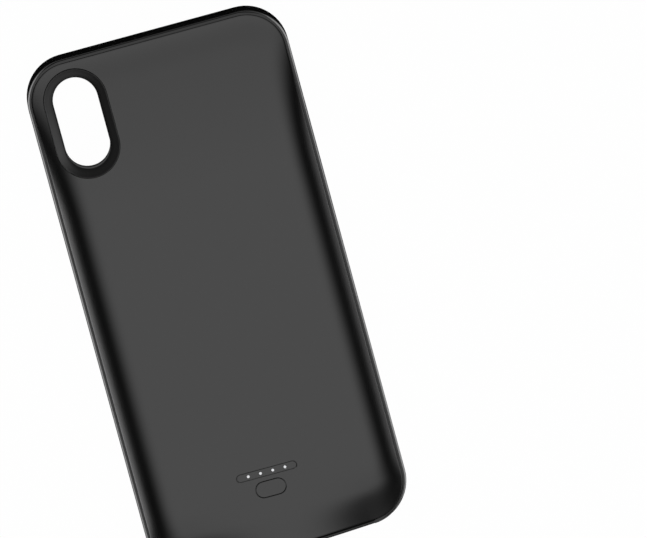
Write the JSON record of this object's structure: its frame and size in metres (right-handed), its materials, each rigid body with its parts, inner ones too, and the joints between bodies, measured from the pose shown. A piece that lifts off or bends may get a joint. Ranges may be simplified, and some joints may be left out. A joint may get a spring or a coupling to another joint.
{
  "type": "battery case",
  "caption": "Slim phone case with a built-in battery: rounded back, camera window, charge lights, check button, side keys and a plug in the chin.",
  "frame": {"origin": "middle of the front rim's plane, which the case lies on", "axes": "X across the case, +Y to the camera end, +Z out of the back"},
  "size_m": [0.0772, 0.1548, 0.0153],
  "materials": {
    "frame_plastic": "polished black moulding",
    "cover_plastic": "soft satin dark grey moulding",
    "tray_plastic": "fine matt black moulding",
    "bezel_plastic": "satin black moulding",
    "key_plastic": "polished black moulding",
    "light_plastic": "frosted white light pipe",
    "plug_metal": "nickel plated",
    "gold": "gold plated",
    "plug_plastic": "moulded",
    "flex_film": "amber film",
    "chip_plastic": "moulded",
    "board_laminate": "lacquered laminate",
    "plunger_plastic": "moulded",
    "led_body": "clear cast top",
    "ferrite": "sintered",
    "capacitor_ceramic": "fired",
    "screw_steel": "bright",
    "cell_foil": "laminated foil pouch",
    "tape": "pressure sensitive film",
    "tab_nickel": "rolled nickel"
  },
  "bodies": {
    "case": {"side_frame": "frame_plastic", "back_cover": "cover_plastic", "inner_tray": "tray_plastic", "camera_bezel": "bezel_plastic", "light_guide": "light_plastic", "plug_tongue": "plug_metal", "plug_contacts": "gold", "plug_base": "plug_plastic", "plug_flex": "flex_film", "charge_socket": "plug_metal", "socket_tongue": "chip_plastic", "main_board": "board_laminate", "tact_switch": "plug_metal", "led_1": "led_body", "led_2": "led_body", "led_3": "led_body", "led_4": "led_body", "charge_chip": "chip_plastic", "boost_chip": "chip_plastic", "power_inductor": "ferrite", "capacitors": "capacitor_ceramic", "board_screw_1": "screw_steel", "board_screw_2": "screw_steel", "board_screw_3": "screw_steel", "battery_cell": "cell_foil", "cell_tape": "tape", "cell_tab_plus": "tab_nickel", "cell_tab_minus": "tab_nickel"},
    "button": {"check_button": "cover_plastic", "switch_plunger": "plunger_plastic"},
    "volume_up": {"volume_up_key": "key_plastic"},
    "volume_down": {"volume_down_key": "key_plastic"},
    "side": {"side_key": "key_plastic"}
  },
  "joints": [
    {"name": "button_press", "type": "slide", "parent": "case", "child": "button", "axis": [0, 0, -1], "range_m": [0, 0.0004], "stiffness_N_per_m": 300},
    {"name": "volume_up_press", "type": "slide", "parent": "case", "child": "volume_up", "axis": [-1, 0, 0], "range_m": [0, 0.0004], "stiffness_N_per_m": 300},
    {"name": "volume_down_press", "type": "slide", "parent": "case", "child": "volume_down", "axis": [-1, 0, 0], "range_m": [0, 0.0004], "stiffness_N_per_m": 300},
    {"name": "side_press", "type": "slide", "parent": "case", "child": "side", "axis": [1, 0, 0], "range_m": [0, 0.0004], "stiffness_N_per_m": 300}
  ]
}
